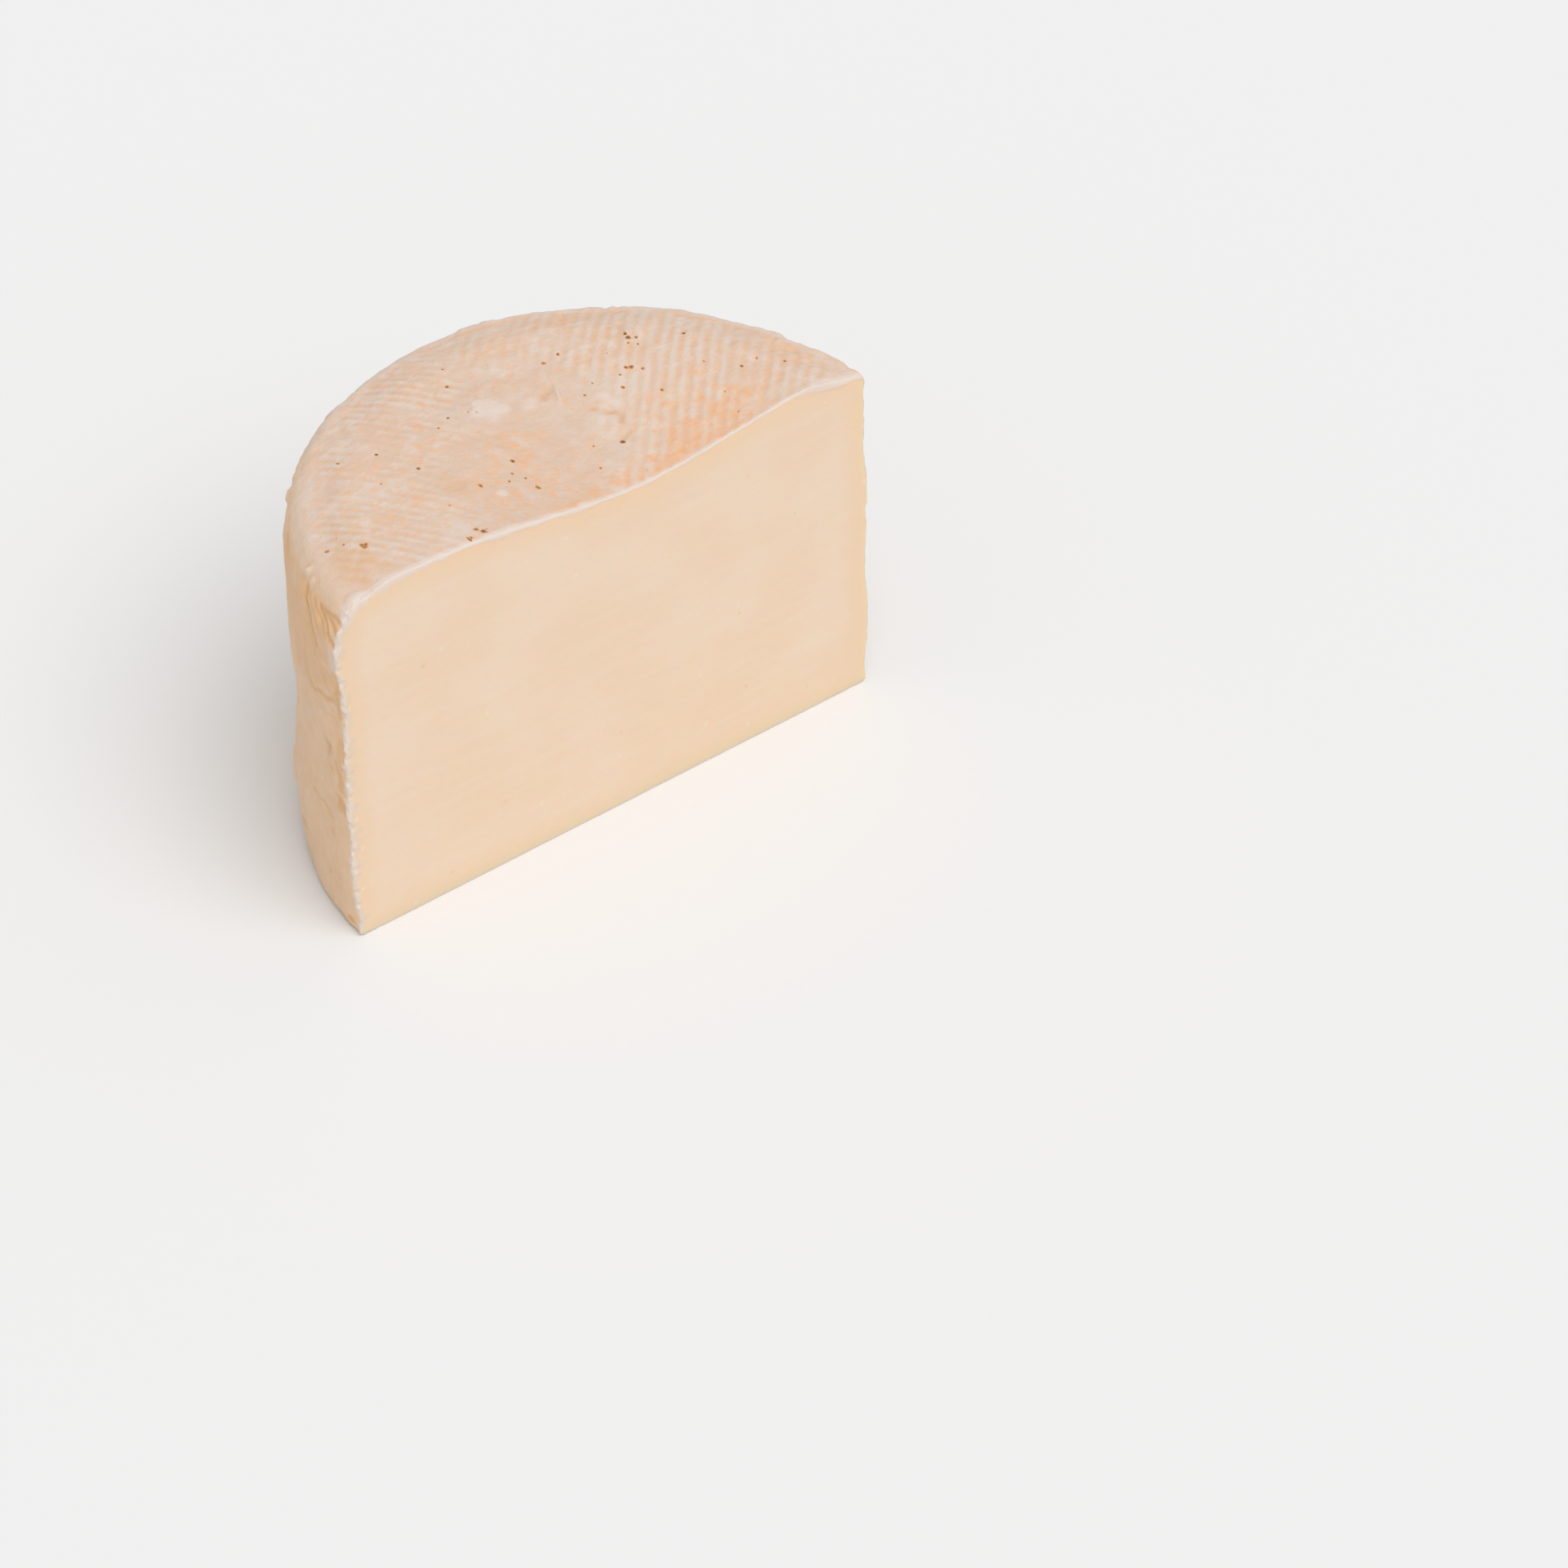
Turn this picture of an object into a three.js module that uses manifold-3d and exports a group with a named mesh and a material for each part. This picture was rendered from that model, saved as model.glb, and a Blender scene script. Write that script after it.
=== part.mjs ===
import * as THREE from 'three';
import { mergeVertices } from 'three/addons/utils/BufferGeometryUtils.js';
import Module from 'manifold-3d';

// Half a wheel of semi-cured sheep cheese, cut straight down through the middle.
// Millimetres, +Z up. The wheel stands on its flat base and the cut face looks along -Y.
// The forms below are written about the wheel's own axis, and the half is centred at the end.

const { degToRad, lerp, smoothstep } = THREE.MathUtils;

// The wheel
const wheelRadius = 80;
const shoulderHeight = 106; // the highest ring of the top
const topTilt = -0.015; // the left shoulder stands a little higher
const dishDepth = 6.2; // the top sinks towards its middle
const dishCentreX = 9.5;
const dishReach = 53;
const rimFall = 4.2; // from the shoulder down to the top's edge
const shoulderRadius = 61;

// The rounded edge between top and side, wider and deeper on the left
const cornerWidthLeft = 8;
const cornerWidthRight = 3.5;
const cornerHeightLeft = 14.5;
const cornerHeightRight = 5.5;
const cornerLift = 0.8; // how far the edge's curve runs on above the top

// The base
const baseEdgeRadius = 1.5;

// Unevenness of the side, pressed in by the mould
const bulgeHeight = 22;
const bulgeDepth = 1.3;
const bulgeReach = 13;
const ledgeHeight = 61;
const ledgeDepth = 0.6;
const sideInset = 0.9; // the bulge and lumps stand out from a circle this much smaller
const sideTaper = 0.7; // the wheel is this much wider at the base than at the top

// Ridges left on the top by a woven mat, in two fields that meet on the half's middle line
const leftRidges = { direction: degToRad(-56), pitch: 3, side: -1 };
const rightRidges = { direction: degToRad(47.5), pitch: 3.2, side: 1 };
const ridgeDepth = 0.5;
const ridgeStep = 7; // length of one facet along a ridge
const meetingReach = 6; // the ridges fade where the two fields meet
const meetingShare = 0.15;
const fieldOverlap = 0.4; // how far each field runs past the middle line
const ridgeFadeStart = 68;
const ridgeFadeEnd = 74;

// Worn patches on the top, where the ridges are rubbed off
const wornPatches = [
  { x: 2, y: 33, reachX: 20, reachY: 19, lift: 0.35 },
  { x: -13, y: 14, reachX: 25, reachY: 22, lift: 0.1 },
];

// Slanted pleats in the side rind, pressed by the cloth band: angles round the wheel in degrees
const pleatPitch = 3.6;
const pleatDepth = 0.7;
const pleatSlant = 0.75; // run round the wheel for each millimetre up
const pleatPatches = [
  { angle: 171, reach: 11, height: 80, tall: 11, slant: -0.45 },
  { angle: 48, reach: 24, height: 62, tall: 30, slant: pleatSlant },
  { angle: 92, reach: 20, height: 55, tall: 32, slant: -pleatSlant },
];

// Small eyes in the paste, seen on the cut face
const eyeCount = 9;
const eyeRadius = [0.7, 1.3];
const eyeMargin = 12; // paste left free of eyes along the rind

// How finely the surface is divided
const roundSteps = 288;
const baseEdgeSteps = 2;
const sideSteps = 13;
const cornerSteps = 5;
const shortestEdge = 0.05;

const wasm = await Module();
wasm.setup();

// A repeatable random draw between 0 and 1
function makeDraw(seed) {
  let state = seed;
  return () => {
    state = (state * 16807) % 2147483647;
    return state / 2147483647;
  };
}

// 1 inside a worn patch, 0 outside, with an uneven outline
function wornShare(patch, x, y) {
  const across = (x - patch.x) / patch.reachX;
  const along = (y - patch.y) / patch.reachY;
  const turn = Math.atan2(along, across);
  const outline = 1 + 0.16 * Math.sin(3 * turn + 0.8) + 0.09 * Math.sin(7 * turn + 2);
  return 1 - smoothstep(Math.hypot(across, along), 0.8 * outline, outline);
}

// Height of the top rind before its ridges
function topHeight(x, y) {
  const fromDish = Math.hypot(x - dishCentreX, y);
  const dish = dishDepth * (1 - smoothstep(fromDish, 0, dishReach));
  const fall = rimFall * smoothstep(Math.hypot(x, y), shoulderRadius, wheelRadius);
  const swell = 0.4 * Math.sin(0.09 * x + 0.7) * Math.sin(0.11 * y + 1.1);
  let lift = 0;
  for (const patch of wornPatches) lift += patch.lift * wornShare(patch, x, y);
  return shoulderHeight + topTilt * x - dish - fall + swell + lift;
}

// How much of a ridge's depth is left at a place on the top
function ridgeShare(x, y) {
  const rim = 1 - smoothstep(Math.hypot(x, y), ridgeFadeStart, ridgeFadeEnd);
  const middle = lerp(meetingShare, 1, smoothstep(Math.abs(x), 0, meetingReach));
  const worn = Math.max(...wornPatches.map((patch) => wornShare(patch, x, y)));
  return rim * middle * (1 - worn);
}

// 0 at the right-hand end of the cut, 1 at the left-hand end
function leftShare(angle) {
  return 0.5 - 0.5 * Math.cos(angle);
}

// Depth of the pleats at an angle and height on the side
function pleatCut(angle, height) {
  let cut = 0;
  for (const patch of pleatPatches) {
    const across = (angle - degToRad(patch.angle)) / degToRad(patch.reach);
    const up = (height - patch.height) / patch.tall;
    const share = 1 - smoothstep(Math.hypot(across, up), 0.7, 1);
    const run = wheelRadius * angle + patch.slant * (height - patch.height);
    cut += share * pleatDepth * (0.5 - 0.5 * Math.cos((2 * Math.PI * run) / pleatPitch));
  }
  return cut;
}

// Radius of the side at an angle and height
function sideRadius(angle, height) {
  const outOfRound = 0.3 * Math.cos(2 * angle + 0.6) + 0.15 * Math.cos(3 * angle + 2);
  const bulgeShare = 0.4 + 0.6 * Math.max(0, Math.sin(2.2 * angle + 2.1));
  const bulge = bulgeDepth * bulgeShare * Math.exp(-(((height - bulgeHeight) / bulgeReach) ** 2));
  const ledge = ledgeDepth * smoothstep(height, ledgeHeight - 4, ledgeHeight + 2);
  const lumps =
    0.2 * Math.sin(5 * angle + 0.05 * height) + 0.16 * Math.sin(11 * angle + 1.3 + 0.11 * height);
  const taper = sideTaper * (0.5 - height / shoulderHeight);
  const round = wheelRadius - sideInset + outOfRound + taper;
  return round + bulge + ledge + lumps - pleatCut(angle, height);
}

// The rows of the wheel's profile, from the middle of the base to above the middle of the top
function profileRows() {
  const rows = [{ zone: 'baseCentre', share: 0 }];
  for (let k = 0; k <= baseEdgeSteps; k++) rows.push({ zone: 'baseEdge', share: k / baseEdgeSteps });
  for (let k = 1; k <= sideSteps; k++) rows.push({ zone: 'side', share: k / sideSteps });
  for (let k = 1; k <= cornerSteps; k++) rows.push({ zone: 'corner', share: k / cornerSteps });
  rows.push({ zone: 'aboveEdge', share: 0 });
  rows.push({ zone: 'aboveCentre', share: 0 });
  return rows;
}

// Radius and height of one row at an angle
function rowPoint(row, angle) {
  const cornerWidth = lerp(cornerWidthRight, cornerWidthLeft, leftShare(angle));
  const cornerHeight = lerp(cornerHeightRight, cornerHeightLeft, leftShare(angle) ** 2);
  const edgeRadius = wheelRadius - cornerWidth;
  const edgeHeight = topHeight(edgeRadius * Math.cos(angle), edgeRadius * Math.sin(angle));
  const sideTop = edgeHeight - cornerHeight;
  if (row.zone === 'baseCentre') return [0, 0];
  if (row.zone === 'baseEdge') {
    const turn = (row.share * Math.PI) / 2;
    const height = baseEdgeRadius * (1 - Math.cos(turn));
    return [sideRadius(angle, height) - baseEdgeRadius * (1 - Math.sin(turn)), height];
  }
  if (row.zone === 'side') {
    const height = lerp(baseEdgeRadius, sideTop, row.share);
    return [sideRadius(angle, height), height];
  }
  if (row.zone === 'corner') {
    const turn = (row.share * Math.PI) / 2;
    const radius = sideRadius(angle, sideTop) - cornerWidth * (1 - Math.cos(turn));
    return [radius, sideTop + (cornerHeight + cornerLift) * Math.sin(turn)];
  }
  if (row.zone === 'aboveEdge') return [edgeRadius - 5, edgeHeight + 3];
  return [0, shoulderHeight + 4];
}

// A closed three.js geometry as a solid that can be joined and cut
function toSolid(geometry) {
  const bare = geometry.clone();
  bare.deleteAttribute('normal');
  bare.deleteAttribute('uv');
  const merged = mergeVertices(bare, 1e-4);
  return new wasm.Manifold(
    new wasm.Mesh({
      numProp: 3,
      vertProperties: merged.attributes.position.array,
      triVerts: new Uint32Array(merged.index.array),
    })
  );
}

// The cut and joined solid as a three.js geometry, with the slivers that cutting leaves closed up
function toGeometry(solid) {
  const mesh = solid.getMesh();
  const corner = (index) => new THREE.Vector3().fromArray(mesh.vertProperties, 3 * index);
  const keeper = new Map();
  const kept = (index) => (keeper.has(index) ? kept(keeper.get(index)) : index);
  for (let i = 0; i < mesh.triVerts.length; i += 3) {
    for (let k = 0; k < 3; k++) {
      const from = kept(mesh.triVerts[i + k]);
      const to = kept(mesh.triVerts[i + ((k + 1) % 3)]);
      if (from !== to && corner(from).distanceTo(corner(to)) < shortestEdge) keeper.set(to, from);
    }
  }
  const faces = [];
  for (let i = 0; i < mesh.triVerts.length; i += 3) {
    const [a, b, c] = [0, 1, 2].map((k) => kept(mesh.triVerts[i + k]));
    if (a !== b && b !== c && c !== a) faces.push(a, b, c);
  }
  const geometry = new THREE.BufferGeometry();
  geometry.setAttribute('position', new THREE.BufferAttribute(mesh.vertProperties, 3));
  geometry.setIndex(faces);
  return geometry;
}

// The whole wheel with its uneven side, its top left high for the ridged cut
function wheelBody() {
  const rows = profileRows();
  const outline = rows.map((row) => new THREE.Vector2(...rowPoint(row, Math.PI)));
  const geometry = new THREE.LatheGeometry(outline, roundSteps);
  const place = geometry.attributes.position;
  for (let i = 0; i <= roundSteps; i++) {
    const angle = ((i % roundSteps) / roundSteps) * 2 * Math.PI;
    rows.forEach((row, j) => {
      const [radius, height] = rowPoint(row, angle);
      place.setXYZ(i * rows.length + j, radius * Math.cos(angle), radius * Math.sin(angle), height);
    });
  }
  return toSolid(geometry);
}

// What is above the top rind on one side of the middle line: its underside is the ridged top
function aboveTop(field) {
  const reach = wheelRadius * 2.1;
  const rowCount = 2 * Math.round(reach / field.pitch);
  const stepCount = Math.round(reach / ridgeStep);
  const across = (rowCount * field.pitch) / 2;
  const geometry = new THREE.BoxGeometry(reach, across, 1, stepCount, rowCount, 1);
  const place = geometry.attributes.position;
  const cos = Math.cos(field.direction);
  const sin = Math.sin(field.direction);
  for (let i = 0; i < place.count; i++) {
    const along = place.getX(i);
    const over = place.getY(i);
    const x = along * cos - over * sin;
    const y = along * sin + over * cos;
    const row = Math.round((over + across / 2) / (field.pitch / 2));
    const groove = (row % 2) * ridgeDepth * ridgeShare(x, y);
    const under = place.getZ(i) < 0;
    place.setXYZ(i, x, y, under ? topHeight(x, y) - groove : shoulderHeight + 20);
  }
  const half = new THREE.BoxGeometry(reach, reach, shoulderHeight);
  half.translate(field.side * (reach / 2 - fieldOverlap), 0, shoulderHeight);
  return toSolid(geometry).intersect(toSolid(half));
}

// Small round eyes that open in the cut face, none near the rind or another eye
function eyes() {
  const draw = makeDraw(41);
  const places = [];
  while (places.length < eyeCount) {
    const x = lerp(-1, 1, draw()) * (wheelRadius - eyeMargin);
    const z = lerp(eyeMargin, shoulderHeight - dishDepth - eyeMargin, draw());
    const radius = lerp(eyeRadius[0], eyeRadius[1], draw());
    if (places.every((other) => Math.hypot(x - other.x, z - other.z) > 8)) {
      places.push({ x, z, radius });
    }
  }
  return places.map(({ x, z, radius }) => {
    const ball = new THREE.SphereGeometry(radius, 7, 5);
    ball.scale(1.25, 1, 0.9);
    ball.translate(x, 0.35 * radius, z);
    return toSolid(ball);
  });
}

function halfWheel() {
  const front = new THREE.BoxGeometry(4 * wheelRadius, 2 * wheelRadius, 4 * wheelRadius);
  front.translate(0, -wheelRadius, 0);
  let solid = wheelBody().subtract(toSolid(front));
  for (const field of [leftRidges, rightRidges]) solid = solid.subtract(aboveTop(field));
  for (const eye of eyes()) solid = solid.subtract(eye);
  const geometry = toGeometry(solid);
  geometry.computeVertexNormals();
  geometry.computeBoundingBox();
  return geometry;
}

const rindAndPaste = new THREE.MeshStandardMaterial({
  color: 0xe6cdb4,
  roughness: 0.62,
  metalness: 0,
  flatShading: true,
});

const cheese = new THREE.Mesh(halfWheel(), rindAndPaste);
cheese.name = 'half_wheel';

// The origin is in the middle of the base of the half's own box
const box = cheese.geometry.boundingBox;
cheese.position.set(-(box.min.x + box.max.x) / 2, -(box.min.y + box.max.y) / 2, -box.min.z);

const group = new THREE.Group();
group.add(cheese);

export default group;
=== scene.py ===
import itertools
import math

import bmesh
import bpy
import numpy as np
from mathutils import Matrix, Vector


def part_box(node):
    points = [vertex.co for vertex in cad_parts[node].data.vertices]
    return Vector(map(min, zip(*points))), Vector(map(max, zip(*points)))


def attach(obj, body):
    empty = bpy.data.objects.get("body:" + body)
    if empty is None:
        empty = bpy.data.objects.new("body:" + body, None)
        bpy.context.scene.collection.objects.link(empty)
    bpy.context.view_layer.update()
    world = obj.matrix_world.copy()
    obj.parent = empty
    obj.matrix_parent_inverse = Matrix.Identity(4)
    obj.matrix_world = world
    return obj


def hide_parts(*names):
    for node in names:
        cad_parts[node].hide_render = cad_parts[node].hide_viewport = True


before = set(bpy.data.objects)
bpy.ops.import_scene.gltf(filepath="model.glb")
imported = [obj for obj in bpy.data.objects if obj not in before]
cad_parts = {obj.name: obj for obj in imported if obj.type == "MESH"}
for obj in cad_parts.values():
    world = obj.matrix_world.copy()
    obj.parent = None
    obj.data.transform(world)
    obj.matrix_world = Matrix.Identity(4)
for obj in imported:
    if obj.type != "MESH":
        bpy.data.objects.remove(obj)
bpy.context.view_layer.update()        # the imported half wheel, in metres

# Half a wheel of semi-cured sheep cheese, standing on its base with the cut face towards -Y.
# Dictionaries and lists hold millimetres about the wheel's axis, and mm makes metres of them.
# A place on the side is (round, height): round is the way round it from the left end of the cut.

mm = 0.001
cheeseLow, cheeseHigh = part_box("half_wheel")
cadDepth = cheeseHigh.y - cheeseLow.y

wheel = {
    "radius": 80.0,
    "shoulderHeight": 106.0,      # the highest ring of the top
    "topTilt": -0.015,            # the left shoulder stands a little higher
    "dishDepth": 6.2,             # the top sinks towards its middle
    "dishCentreX": 9.5,
    "dishReach": 53.0,
    "rimFall": 4.2,
    "shoulderRadius": 61.0,
    "bevel": 7.0,                 # a plain bevel, stretched into the corner sizes below
    "cornerWidth": (3.5, 8.0),    # at the right end of the cut, at the left end
    "cornerHeight": (5.5, 14.5),
    "crispAngle": math.radians(40),    # the right end of the cut has a crisper corner
    "crispWidth": 0.55, "crispHeight": 0.45,
    "baseEdge": 1.5,
    "roundSteps": 256,
    "voxel": 1.25,
    "topBand": (88.0, 95.0),      # the top's marks fade in over these heights
}
side = {
    "inset": 0.9,
    "taper": 0.7,
    "bulgeHeight": 22.0, "bulgeDepth": 1.3, "bulgeReach": 13.0,
    "ledgeHeight": 61.0, "ledgeDepth": 0.6,
    "band": (74.0, 77.0),         # the side's own marks fade in over these radii
    "marksFrom": 60.0,            # placed marks reach no further in than this radius
}
wornPatches = [    # where the ridges are rubbed off: x, y, reach each way, lift
    (2, 33, 20, 19, 0.35), (-13, 14, 25, 22, 0.1),
]
boxMiddleFromAxis = 0.192    # the half's box is this far to the right of the wheel's axis
axisPlace = np.array([
    (cheeseLow.x + cheeseHigh.x) / 2 - boxMiddleFromAxis * mm,
    cheeseLow.y,
    0.0,
])


# Small helpers
def setMode(mode):
    bpy.ops.object.mode_set(mode=mode)


def selectNothing(kind):
    setMode("EDIT")
    bpy.ops.mesh.select_mode(type=kind)
    bpy.ops.mesh.select_all(action="DESELECT")


def selectFaces(piece, chosen):
    # leaves edit mode on, with these faces selected
    selectNothing("FACE")
    setMode("OBJECT")
    piece.data.polygons.foreach_set("select", chosen)
    setMode("EDIT")


def selectEdges(piece, test):
    # the same for edges that pass a test
    selectNothing("EDGE")
    cage = bmesh.from_edit_mesh(piece.data)
    for edge in cage.edges:
        edge.select = test(edge)
    bmesh.update_edit_mesh(piece.data)


def softStep(value, low, high):
    share = np.clip((value - low) / (high - low), 0.0, 1.0)
    return share * share * (3.0 - 2.0 * share)


def between(low, high, share):
    return low + (high - low) * share


def bell(value):
    return np.exp(-(value ** 2))


def softNoise(points, size, seed):
    # smooth random field of about -1 to 1, with lumps of the given size
    count = 24
    lattice = np.random.default_rng(seed).uniform(-1.0, 1.0, (count, count, count))
    places = points / size + 1000.0
    cell = np.floor(places).astype(int)
    share = places - cell
    share = share * share * (3.0 - 2.0 * share)
    total = np.zeros(len(points))
    for steps in itertools.product((0, 1), repeat=3):
        weights = np.where(steps, share, 1.0 - share)
        corners = lattice[tuple(((cell + steps) % count).T)]
        total += weights[:, 0] * weights[:, 1] * weights[:, 2] * corners
    return total * 1.6


def roughNoise(points, size, seed, layers=3):
    total = np.zeros(len(points))
    for layer in range(layers):
        total += softNoise(points, size / 2 ** layer, seed + layer) / 2 ** layer
    return total / 1.4


def readArray(rows, name, width=1, kind=float):
    values = np.zeros(len(rows) * width, kind)
    rows.foreach_get(name, values)
    return values.reshape(-1, width) if width > 1 else values


def readPoints(piece):
    # all vertices in millimetres about the wheel's axis
    return (readArray(piece.data.vertices, "co", 3) - axisPlace) / mm


def splitPoints(piece):
    points = readPoints(piece)
    return points, *points.T


def writePoints(piece, points):
    piece.data.vertices.foreach_set("co", (points * mm + axisPlace).ravel())
    piece.data.update()


def storeShare(piece, name, values):
    layer = piece.data.attributes.get(name) or piece.data.attributes.new(name, "FLOAT", "POINT")
    layer.data.foreach_set("value", values.astype(np.float32))


def readShare(piece, name):
    return readArray(piece.data.attributes[name].data, "value", kind=np.float32)


# The forms of the wheel, the same as the solid's
def pointsOnCut(piece):
    # dividing leaves shares in between beside the rim, and those points belong to the rind
    return readShare(piece, "onCut") > 0.99


def topBandShare(z):
    return softStep(z, *wheel["topBand"])


def spotShare(x, y, spot, ragged, inner, outer=1.0, turn=0.0):
    # 1 in the middle of a spot and 0 outside it: a spot starts with its place and reach each way
    dx, dy = x - spot[0], y - spot[1]
    across = (dx * math.cos(turn) + dy * math.sin(turn)) / spot[2]
    along = (dy * math.cos(turn) - dx * math.sin(turn)) / spot[3]
    return 1 - softStep(np.hypot(across, along) + ragged, inner, outer)


def patchShare(patch, x, y, inner=0.8, outer=1.0):
    across, along = (x - patch[0]) / patch[2], (y - patch[1]) / patch[3]
    turn = np.arctan2(along, across)
    outline = 1 + 0.16 * np.sin(3 * turn + 0.8) + 0.09 * np.sin(7 * turn + 2)
    return 1 - softStep(np.hypot(across, along), inner * outline, outer * outline)


def wornShare(x, y):
    return np.maximum(*[patchShare(patch, x, y, 0.6, 1.2) for patch in wornPatches])


def topHeight(x, y):
    fromDish = np.hypot(x - wheel["dishCentreX"], y)
    dish = wheel["dishDepth"] * (1 - softStep(fromDish, 0, wheel["dishReach"]))
    fall = wheel["rimFall"] * softStep(np.hypot(x, y), wheel["shoulderRadius"], wheel["radius"])
    swell = 0.4 * np.sin(0.09 * x + 0.7) * np.sin(0.11 * y + 1.1)
    lift = sum(patch[4] * patchShare(patch, x, y) for patch in wornPatches)
    return wheel["shoulderHeight"] + wheel["topTilt"] * x - dish - fall + swell + lift


def sideRadius(angle, height):
    outOfRound = 0.3 * np.cos(2 * angle + 0.6) + 0.15 * np.cos(3 * angle + 2)
    bulgeShare = 0.4 + 0.6 * np.maximum(0, np.sin(2.2 * angle + 2.1))
    fromBulge = (height - side["bulgeHeight"]) / side["bulgeReach"]
    bulge = side["bulgeDepth"] * bulgeShare * bell(fromBulge)
    ledge = side["ledgeDepth"] * softStep(height, side["ledgeHeight"] - 4, side["ledgeHeight"] + 2)
    lumps = 0.2 * np.sin(5 * angle + 0.05 * height) + 0.16 * np.sin(11 * angle + 1.3 + 0.11 * height)
    taper = side["taper"] * (0.5 - height / wheel["shoulderHeight"])
    return wheel["radius"] - side["inset"] + outOfRound + taper + bulge + ledge + lumps


def buildWheel():
    # a plain cylinder, bevelled, cut in half and remeshed evenly
    height = wheel["shoulderHeight"]
    bpy.ops.mesh.primitive_cylinder_add(
        vertices=wheel["roundSteps"],
        radius=wheel["radius"] * mm,
        depth=height * mm,
        end_fill_type="NGON",
        location=(axisPlace[0], axisPlace[1], height * mm / 2),
    )
    piece = bpy.context.object
    piece.name = "cheeseHalf"
    bpy.ops.object.transform_apply(location=True, rotation=True, scale=True)
    for level, width, segments in ((height, wheel["bevel"], 8), (0.0, wheel["baseEdge"], 3)):
        selectEdges(piece, lambda edge: all(abs(v.co.z - level * mm) < 0.1 * mm for v in edge.verts))
        bpy.ops.mesh.bevel(offset=width * mm, segments=segments, profile=0.5)
        setMode("OBJECT")
    setMode("EDIT")
    bpy.ops.mesh.select_all(action="SELECT")
    bpy.ops.mesh.bisect(
        plane_co=tuple(axisPlace), plane_no=(0, 1, 0), use_fill=True, clear_inner=True
    )
    setMode("OBJECT")
    remesh = piece.modifiers.new("evenQuads", "REMESH")
    remesh.mode = "VOXEL"
    remesh.voxel_size = wheel["voxel"] * mm
    bpy.ops.object.modifier_apply(modifier=remesh.name)
    print("wheel cut and remeshed:", len(piece.data.polygons), "faces")
    return piece


def plainProfile(x, z):
    # the nearest places on the outline of the plain half wheel's cut
    bevel, full, height = wheel["bevel"], wheel["radius"], wheel["shoulderHeight"]
    toSide, toTop = full - np.abs(x), height - z
    newX = np.where(toSide < np.minimum(toTop, z), np.sign(x) * full, x)
    newZ = np.where(z < np.minimum(toSide, toTop), 0.0, z)
    newZ = np.where(toTop <= np.minimum(toSide, z), height, newZ)
    for size, middle, up in ((bevel, height - bevel, 1), (wheel["baseEdge"], wheel["baseEdge"], -1)):
        across, along = np.abs(x) - (full - size), (z - middle) * up
        inCorner = (across > 0) & (along > 0)
        grow = size / np.maximum(np.hypot(across, along), 1e-6)
        newX = np.where(inCorner, np.sign(x) * (full - size + across * grow), newX)
        newZ = np.where(inCorner, middle + up * along * grow, newZ)
    return newX, newZ


def shapeWheel(piece):
    # stretches the plain half wheel into the uneven one
    points, x, y, z = splitPoints(piece)
    bevel, full, height = wheel["bevel"], wheel["radius"], wheel["shoulderHeight"]
    onCut = y < 0.45 * wheel["voxel"]
    bluntRow = ~onCut & (y < 0.8 * wheel["voxel"])    # the remesh blunts the cut's edge
    sharpX, sharpZ = plainProfile(x, z)
    x, z = np.where(bluntRow, sharpX, x), np.where(bluntRow, sharpZ, z)
    onCut = onCut | bluntRow
    y = np.where(onCut, 0.0, y)
    angle = np.arctan2(y, x)
    radius = np.hypot(x, y)
    leftShare = 0.5 - 0.5 * np.cos(angle) * softStep(radius, 0, 0.75 * full)
    crisp = softStep(angle, 0, wheel["crispAngle"])
    width = between(*wheel["cornerWidth"], leftShare) * between(wheel["crispWidth"], 1.0, crisp)
    tall = between(*wheel["cornerHeight"], leftShare ** 2) * between(wheel["crispHeight"], 1.0, crisp)
    tall = between(bevel, tall, softStep(radius, 0.5 * full, full - bevel - 1))
    newRadius = np.where(
        radius < full - bevel,
        radius * (full - width) / (full - bevel),
        full - (full - radius) * width / bevel,
    )
    newHeight = np.where(
        z < height - bevel,
        z * (height - tall) / (height - bevel),
        height - (height - z) * tall / bevel,
    )
    topWeight = softStep(newHeight, 0.45 * height, height - tall)
    sideWeight = softStep(radius, 0.5 * full, full - bevel)
    rimRadius = np.minimum(newRadius, full - width)
    rimX, rimY = rimRadius * np.cos(angle), rimRadius * np.sin(angle)
    newHeight = newHeight + (topHeight(rimX, rimY) - height) * topWeight
    newRadius = newRadius + (sideRadius(angle, newHeight) - full) * sideWeight
    x, y = newRadius * np.cos(angle), newRadius * np.sin(angle)
    y = np.where(onCut, 0.0, y)
    writePoints(piece, np.stack([x, y, newHeight], 1))
    storeShare(piece, "onCut", onCut.astype(float))


def atFaces(piece, values, combine):
    # combines the values of the points at each face's corners
    corners = readArray(piece.data.loops, "vertex_index", kind=int)
    return combine.reduceat(values[corners], readArray(piece.data.polygons, "loop_start", kind=int))


def faceSizes(piece):
    return readArray(piece.data.polygons, "loop_total", kind=int)


def facesOnCut(piece):
    return atFaces(piece, pointsOnCut(piece), np.logical_and)


def faceFigures(piece):
    # middles in millimetres about the wheel's axis, and normals, of all faces
    middles = atFaces(piece, readPoints(piece), np.add) / faceSizes(piece)[:, None]
    return middles, readArray(piece.data.polygons, "normal", 3)


def divideWhere(piece, test, outline):
    # divides the faces whose middle and normal pass the test
    selectFaces(piece, test(*faceFigures(piece), outline))
    bpy.ops.mesh.subdivide(number_cuts=1, smoothness=0.0)
    setMode("OBJECT")


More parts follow.
